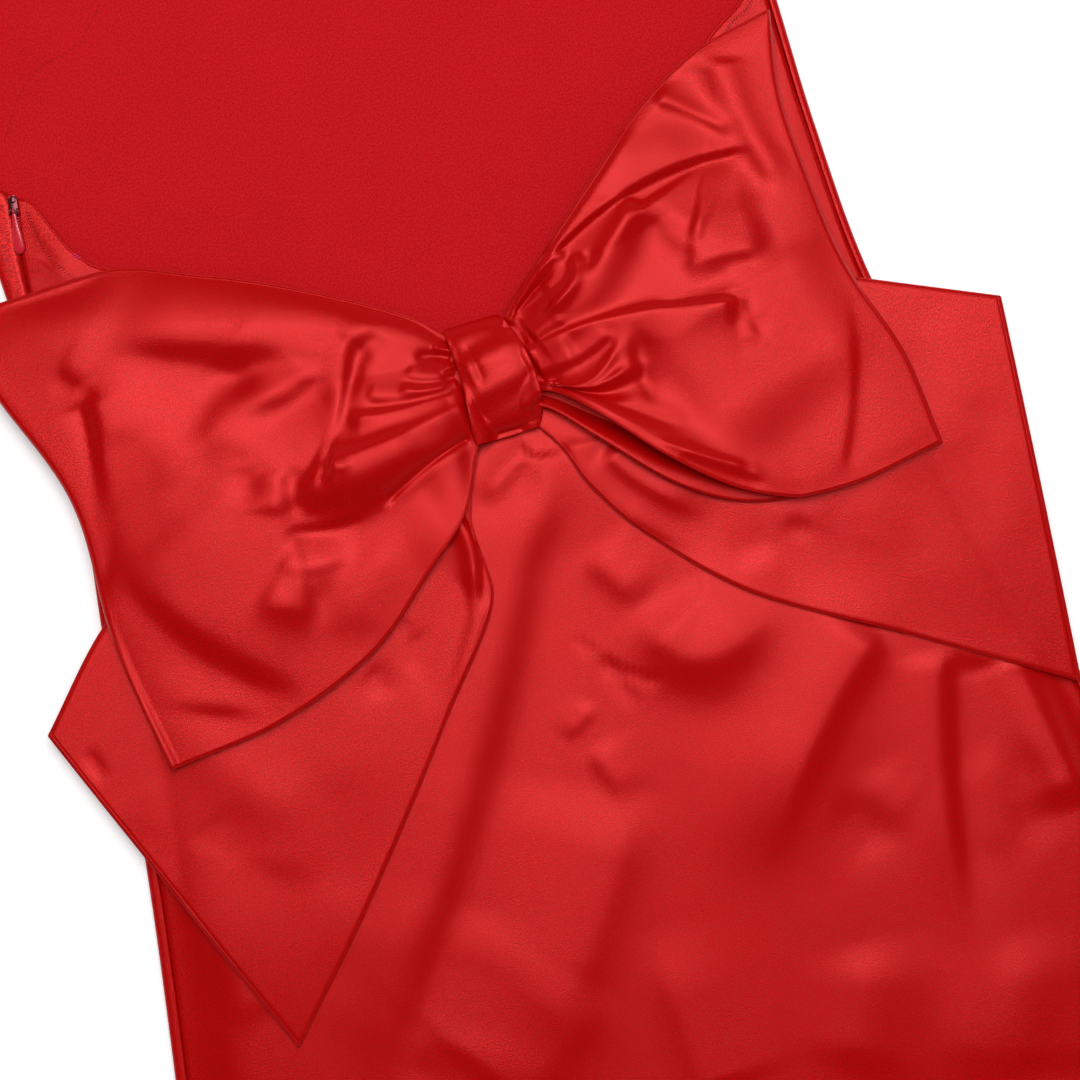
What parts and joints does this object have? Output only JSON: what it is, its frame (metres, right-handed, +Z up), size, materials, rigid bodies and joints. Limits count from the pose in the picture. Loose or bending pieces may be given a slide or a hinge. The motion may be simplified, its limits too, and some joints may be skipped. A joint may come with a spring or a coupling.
{
  "type": "halter maxi dress",
  "caption": "Red satin halter maxi dress laid flat, back up: low open back with a large bow at the waist, side zip with a swinging tab, long flared skirt and neck strap.",
  "frame": {"origin": "middle of the outline at the height of the surface that the dress lies on", "axes": "+Y from the hem towards the neck strap, +Z up from the surface through the front and then the back with its bow, +X to the wearer's right, away from the zip"},
  "size_m": [0.7012, 1.5054, 0.0322],
  "materials": {
    "satin": "glossy crepe-back satin, fine weave",
    "crepe_inside": "the satin's matte crepe side",
    "zip_red": "dyed zip coil, tape and lacquered tab",
    "slider_metal": "worn red lacquer on metal"
  },
  "bodies": {
    "dress": {"front_panel": "crepe_inside", "back_panel": "satin", "neck_strap": "satin", "bow_tail_left": "satin", "bow_tail_right": "satin", "bow_loop_left": "satin", "bow_loop_right": "satin", "bow_knot": "satin", "zip_tape": "zip_red", "zip_chain": "zip_red", "zip_slider": "slider_metal"},
    "pull_tab": {"zip_pull": "zip_red"}
  },
  "joints": [
    {"name": "tab_swing", "type": "hinge", "parent": "dress", "child": "pull_tab", "pos_m": [-0.18433, 0.44343, 0.0089], "axis": [-0.9877, 0.1564, 0], "range_deg": [0, 150]}
  ]
}
